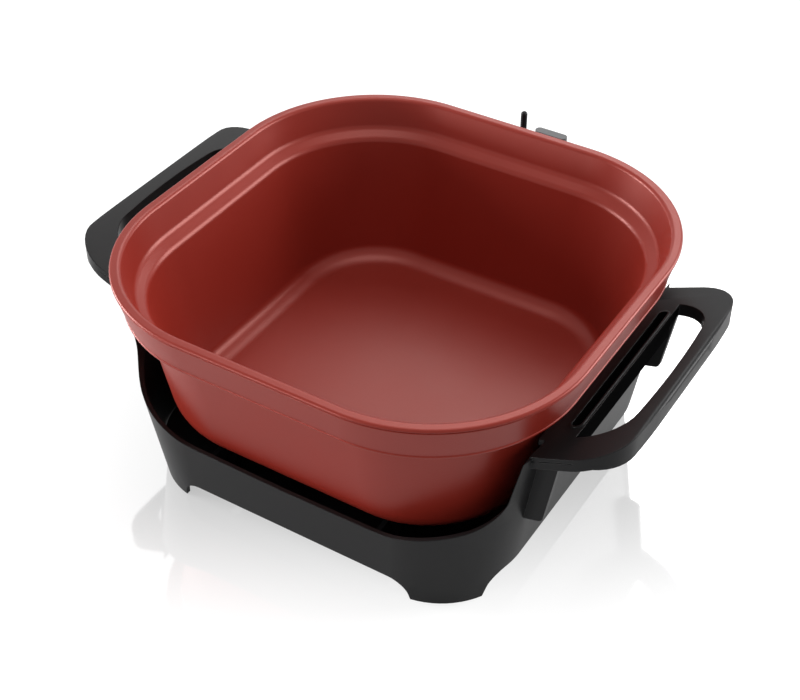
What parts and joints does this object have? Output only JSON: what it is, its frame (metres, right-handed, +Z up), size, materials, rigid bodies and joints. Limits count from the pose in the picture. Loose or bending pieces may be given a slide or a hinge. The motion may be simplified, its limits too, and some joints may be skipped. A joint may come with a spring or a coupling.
{
  "type": "electric roaster",
  "caption": "Deep square roasting pan with a stepped rim, lifting out of a footed moulded stand with sloping loop handles and a plug-in slide control at the back.",
  "frame": {"origin": "on the table, under the middle of the part's box; the pan's own centre lies 48.75 mm towards the front (-Y) of it", "axes": "+X to the right-hand handle, +Y to the control at the back, +Z up"},
  "size_m": [0.3826, 0.4026, 0.157],
  "materials": {
    "coated_red": "satin non-stick coating on cast aluminium",
    "black_plastic": "fine satin moulding",
    "shield_steel": "black enamelled sheet",
    "screw_steel": "plated",
    "sheath": "heat-darkened sheath",
    "sheet_steel": "plated sheet",
    "pin_metal": "nickel plated",
    "ceramic": "unglazed ceramic",
    "probe_steel": "polished",
    "contact_brass": "bright",
    "thermostat": "moulded switch body",
    "lens_grey": "smoked lens",
    "lamp_amber": "lamp",
    "scale_grey": "printed plate",
    "grommet_rubber": "soft",
    "lever_black": "satin"
  },
  "bodies": {
    "base": {"base_frame": "black_plastic", "heat_shield": "shield_steel", "shield_screws": "screw_steel"},
    "pan": {"pan": "coated_red", "heating_element": "sheath", "element_clips": "sheet_steel", "terminal_pins": "pin_metal", "terminal_insulators": "ceramic", "terminal_guard": "sheet_steel", "guard_rivets": "screw_steel", "probe_well": "sheet_steel"},
    "control": {"control_lower_shell": "black_plastic", "control_upper_shell": "black_plastic", "probe_tube": "probe_steel", "contact_sleeves": "contact_brass", "thermostat_block": "thermostat", "indicator_lens": "lens_grey", "indicator_lamp": "lamp_amber", "scale_plate": "scale_grey", "cord_grommet": "grommet_rubber", "housing_screws": "screw_steel"},
    "lever": {"slide_lever": "lever_black"}
  },
  "joints": [
    {"name": "pan_lift", "type": "slide", "parent": "base", "child": "pan", "axis": [0, 0, 1], "range_m": [0, 0.13]},
    {"name": "control_unplug", "type": "slide", "parent": "pan", "child": "control", "axis": [0, 1, 0], "range_m": [0, 0.11]},
    {"name": "lever_slide", "type": "slide", "parent": "control", "child": "lever", "axis": [1, 0, 0], "range_m": [0, 0.034]}
  ]
}
